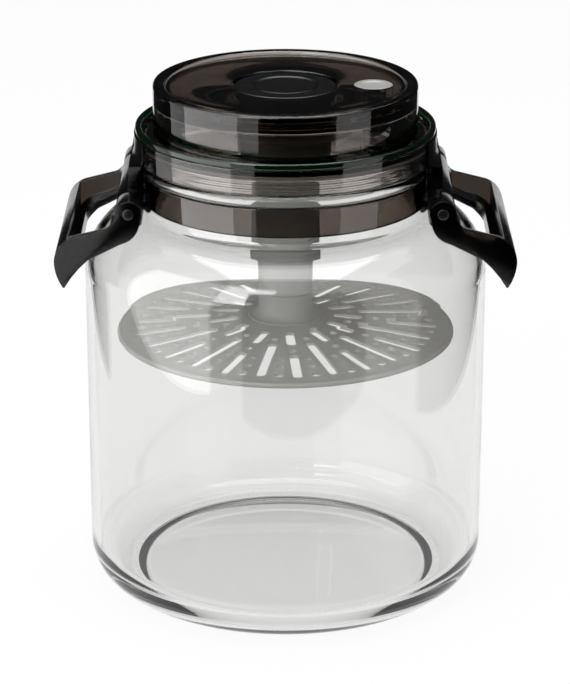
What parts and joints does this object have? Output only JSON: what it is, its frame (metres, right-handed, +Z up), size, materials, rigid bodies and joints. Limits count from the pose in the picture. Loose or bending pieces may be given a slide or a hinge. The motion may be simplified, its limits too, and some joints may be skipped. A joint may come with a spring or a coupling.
{
  "type": "pickle keeper with lift strainer",
  "caption": "Clear glass pickle jar with a clip-on pump lid, swing-up side clips, a vent button and a perforated strainer disc on a telescoping stem.",
  "frame": {"origin": "centre of the jar's base, on the surface it stands on", "axes": "+Z up along the jar's axis, +X towards the right clip and the vent button, -Y towards the front"},
  "size_m": [0.1844, 0.165, 0.213],
  "materials": {
    "glass": "clear blown glass",
    "clip": "glossy black, slightly translucent",
    "smoked": "smoked translucent plastic",
    "rim": "green translucent plastic",
    "black": "glossy black plastic",
    "button": "silver-grey",
    "grey": "satin grey plastic",
    "inner": "dark inner plastic",
    "seal": "soft pale silicone",
    "steel": "stainless steel"
  },
  "bodies": {
    "jar": {"glass_jar": "glass", "collar_front": "smoked", "collar_rear": "smoked", "catch_plate_left": "clip", "catch_plate_right": "clip", "catch_screws": "steel"},
    "lid": {"mouth_gasket": "seal", "lid_ring": "smoked", "rim_band": "rim", "hinge_block_left": "clip", "hinge_block_right": "clip", "hinge_pin_left": "black", "hinge_pin_right": "black", "lid_drum": "smoked", "drum_screws": "steel", "top_cover": "smoked", "pump_cylinder": "inner", "flange_screws": "steel", "pump_guide_cap": "inner", "intake_valve": "seal", "stem_sleeve": "grey", "sleeve_screws": "steel", "grip_collar": "grey", "grip_ring": "seal", "pump_spring": "steel", "vent_spring": "steel"},
    "clip_right": {"clip_right": "clip"},
    "clip_left": {"clip_left": "clip"},
    "knob": {"pump_piston": "inner", "piston_seal": "seal", "pump_rod": "steel", "pump_knob": "black", "knob_screw": "steel", "knob_insert": "black"},
    "vent": {"vent_button": "button", "vent_stem": "inner", "vent_seal": "seal"},
    "strainer": {"stem_tube": "grey", "strainer_hub": "grey", "strainer_plate": "grey", "keeper_disc": "grey", "hub_screw": "steel"}
  },
  "joints": [
    {"name": "lid_lift", "type": "slide", "parent": "jar", "child": "lid", "axis": [0, 0, 1], "range_m": [0, 0.135]},
    {"name": "clip_right_hinge", "type": "hinge", "parent": "lid", "child": "clip_right", "pos_m": [0.0623, 0, 0.1694], "axis": [0, -1, 0], "range_deg": [0, 110]},
    {"name": "clip_left_hinge", "type": "hinge", "parent": "lid", "child": "clip_left", "pos_m": [-0.0623, 0, 0.1694], "axis": [0, 1, 0], "range_deg": [0, 110]},
    {"name": "pump_press", "type": "slide", "parent": "lid", "child": "knob", "axis": [0, 0, 1], "range_m": [-0.007, 0], "stiffness_N_per_m": 700, "springref_m": 0.003, "deforming": ["pump_spring"]},
    {"name": "vent_press", "type": "slide", "parent": "lid", "child": "vent", "axis": [0, 0, 1], "range_m": [-0.0015, 0], "stiffness_N_per_m": 900, "springref_m": 0.001, "deforming": ["vent_spring"]},
    {"name": "strainer_lift", "type": "slide", "parent": "jar", "child": "strainer", "axis": [0, 0, 1], "range_m": [-0.018, 0.014]}
  ]
}
